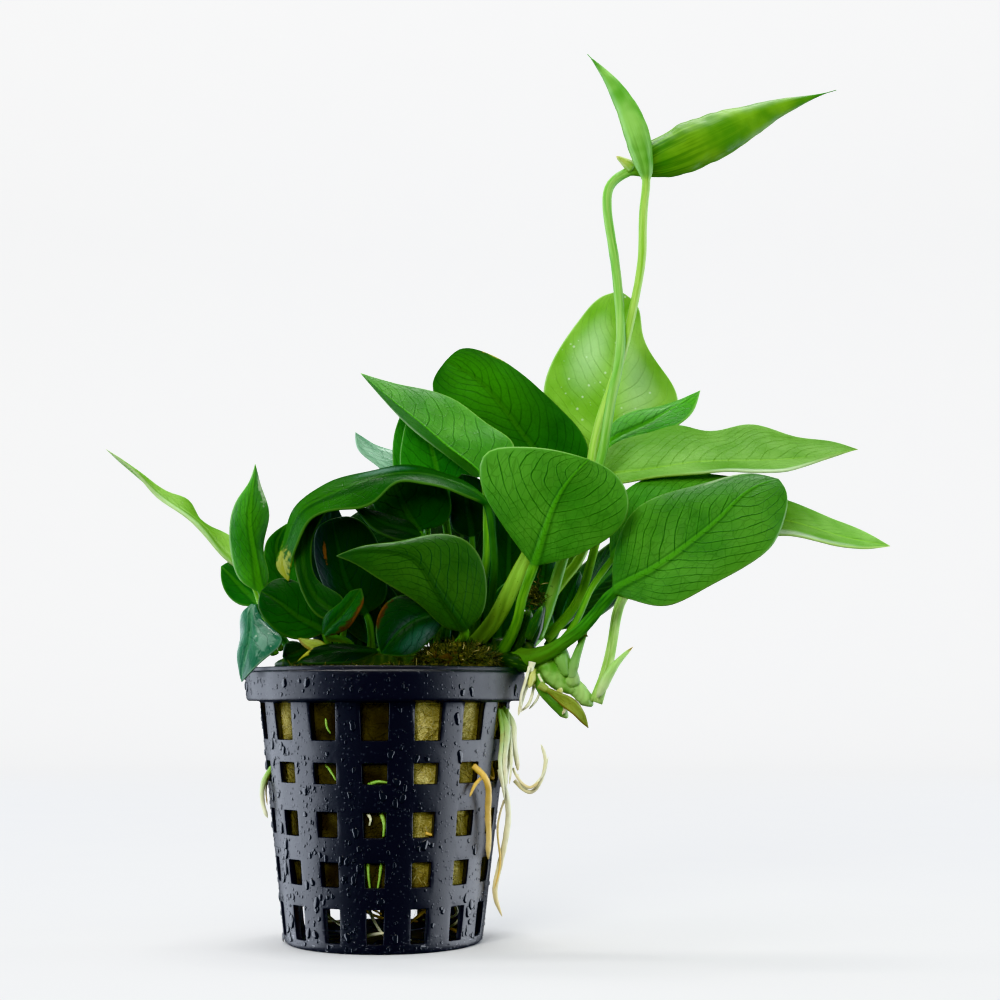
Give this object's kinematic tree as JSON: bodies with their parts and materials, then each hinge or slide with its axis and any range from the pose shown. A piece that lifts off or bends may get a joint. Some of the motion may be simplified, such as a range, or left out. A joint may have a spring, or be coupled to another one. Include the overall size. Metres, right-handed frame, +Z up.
{
  "type": "potted dwarf anubias",
  "caption": "Small broad-leaved water plant with closed flowers on long stalks, growing from a creeping stem on mineral wool in a round slotted net pot.",
  "frame": {"origin": "centre of the pot's underside, on the floor", "axes": "+Z up along the pot's axis, -Y towards the picture's viewer, +X to the viewer's right"},
  "size_m": [0.1573, 0.0576, 0.1771],
  "materials": {
    "net_pot": "satin black moulded plastic, wet in places",
    "wool_plug": "wet yellow-brown mineral wool with roots in it",
    "moss_mound": "damp olive-brown moss, old wool and dead roots",
    "rhizome": "smooth pale green living stem",
    "rhizome_branch": "smooth pale green living stem",
    "leaf_far_left": "smooth, slightly glossy living leaf",
    "leaf_upright_left": "smooth, slightly glossy living leaf",
    "leaf_left_low": "smooth, slightly glossy living leaf",
    "leaf_over_rim": "smooth, slightly glossy living leaf",
    "leaf_oval_left": "smooth, slightly glossy living leaf",
    "leaf_behind_curl": "smooth, slightly glossy living leaf",
    "leaf_arching": "smooth, slightly glossy living leaf",
    "leaf_curl_left": "smooth, slightly glossy living leaf",
    "leaf_inner_dark": "smooth, slightly glossy living leaf",
    "leaf_brown_margin": "smooth, slightly glossy living leaf",
    "leaf_low_front": "smooth, slightly glossy living leaf",
    "leaf_low_left": "smooth, slightly glossy living leaf",
    "leaf_front_left": "smooth, slightly glossy living leaf",
    "leaf_round_low": "smooth, slightly glossy living leaf",
    "leaf_upper_left": "smooth, slightly glossy living leaf",
    "leaf_top_dark": "smooth, slightly glossy living leaf",
    "leaf_mid_left": "smooth, slightly glossy living leaf",
    "leaf_mid_left_back": "smooth, slightly glossy living leaf",
    "leaf_pale_tip": "smooth, slightly glossy living leaf",
    "leaf_mid_green": "smooth, slightly glossy living leaf",
    "leaf_dark_strip": "smooth, slightly glossy living leaf",
    "leaf_dark_inside": "smooth, slightly glossy living leaf",
    "leaf_front_broad": "smooth, slightly glossy living leaf",
    "leaf_front_right": "smooth, slightly glossy living leaf",
    "leaf_right_behind": "smooth, slightly glossy living leaf",
    "leaf_long_right": "smooth, slightly glossy living leaf",
    "leaf_right_low": "smooth, slightly glossy living leaf",
    "leaf_small_right": "smooth, slightly glossy living leaf",
    "leaf_tall_light": "smooth, slightly glossy living leaf",
    "leaf_back_left": "smooth, slightly glossy living leaf",
    "leaf_back_middle": "smooth, slightly glossy living leaf",
    "leaf_back_right": "smooth, slightly glossy living leaf",
    "bract_left": "thin yellowing sheath",
    "bract_right": "thin yellowing sheath",
    "flower_nodding": "smooth, slightly glossy green stalk and closed hood",
    "flower_upright": "smooth, slightly glossy green stalk and closed hood",
    "shoot_right": "smooth young green shoot",
    "shoot_middle": "smooth young green shoot",
    "shoot_drooping": "smooth young green shoot",
    "shoot_short": "smooth young green shoot",
    "root_right_long": "damp yellowish-white to ochre root",
    "root_right_short": "damp yellowish-white to ochre root",
    "root_loop": "damp yellowish-white to ochre root",
    "root_down_side": "damp yellowish-white to ochre root",
    "root_from_window": "damp yellowish-white to ochre root",
    "root_over_rim": "damp yellowish-white to ochre root",
    "root_left": "damp yellowish-white to ochre root"
  },
  "bodies": {
    "root": {"net_pot": "net_pot", "wool_plug": "wool_plug", "moss_mound": "moss_mound", "rhizome": "rhizome", "rhizome_branch": "rhizome_branch", "leaf_far_left": "leaf_far_left", "leaf_upright_left": "leaf_upright_left", "leaf_left_low": "leaf_left_low", "leaf_over_rim": "leaf_over_rim", "leaf_oval_left": "leaf_oval_left", "leaf_behind_curl": "leaf_behind_curl", "leaf_arching": "leaf_arching", "leaf_curl_left": "leaf_curl_left", "leaf_inner_dark": "leaf_inner_dark", "leaf_brown_margin": "leaf_brown_margin", "leaf_low_front": "leaf_low_front", "leaf_low_left": "leaf_low_left", "leaf_front_left": "leaf_front_left", "leaf_round_low": "leaf_round_low", "leaf_upper_left": "leaf_upper_left", "leaf_top_dark": "leaf_top_dark", "leaf_mid_left": "leaf_mid_left", "leaf_mid_left_back": "leaf_mid_left_back", "leaf_pale_tip": "leaf_pale_tip", "leaf_mid_green": "leaf_mid_green", "leaf_dark_strip": "leaf_dark_strip", "leaf_dark_inside": "leaf_dark_inside", "leaf_front_broad": "leaf_front_broad", "leaf_front_right": "leaf_front_right", "leaf_right_behind": "leaf_right_behind", "leaf_long_right": "leaf_long_right", "leaf_right_low": "leaf_right_low", "leaf_small_right": "leaf_small_right", "leaf_tall_light": "leaf_tall_light", "leaf_back_left": "leaf_back_left", "leaf_back_middle": "leaf_back_middle", "leaf_back_right": "leaf_back_right", "bract_left": "bract_left", "bract_right": "bract_right", "flower_nodding": "flower_nodding", "flower_upright": "flower_upright", "shoot_right": "shoot_right", "shoot_middle": "shoot_middle", "shoot_drooping": "shoot_drooping", "shoot_short": "shoot_short", "root_right_long": "root_right_long", "root_right_short": "root_right_short", "root_loop": "root_loop", "root_down_side": "root_down_side", "root_from_window": "root_from_window", "root_over_rim": "root_over_rim", "root_left": "root_left"}
  },
  "joints": []
}
